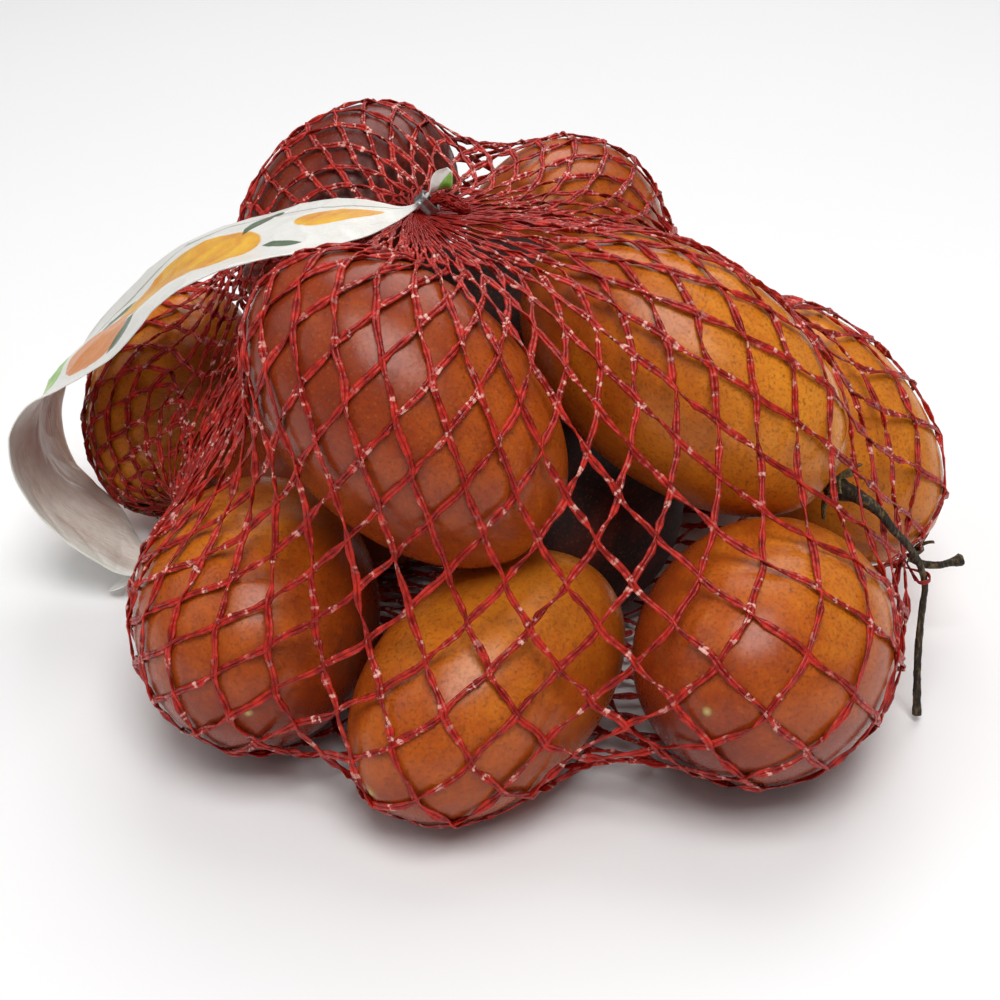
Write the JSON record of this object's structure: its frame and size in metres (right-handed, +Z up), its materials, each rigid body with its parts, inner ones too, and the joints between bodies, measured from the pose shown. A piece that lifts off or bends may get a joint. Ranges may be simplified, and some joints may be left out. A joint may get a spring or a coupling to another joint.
{
  "type": "net of tamarillos",
  "caption": "Knitted net bag filled with egg-shaped fruits, closed by a metal clip at each end, with a printed band as a carrying loop.",
  "frame": {"origin": "centre of the bounding box's footprint, on the surface that the pack lies on", "axes": "+X to the right as the carrying loop lies at the left, +Y away from the front, +Z up"},
  "size_m": [0.2172, 0.1932, 0.1062],
  "materials": {
    "net_red": "knitted red net drawn tight over the fruits",
    "label_film": "thin white printed film",
    "clip_metal": "dull crimped aluminium strip",
    "stem_brown": "dry dark woody stalk"
  },
  "bodies": {
    "root": {"net_bag": "net_red", "label_band": "label_film", "top_clip": "clip_metal", "bottom_clip": "clip_metal", "top_tuft": "net_red", "bottom_tuft": "net_red", "hanging_stem": "stem_brown", "short_stem": "stem_brown"}
  },
  "joints": []
}
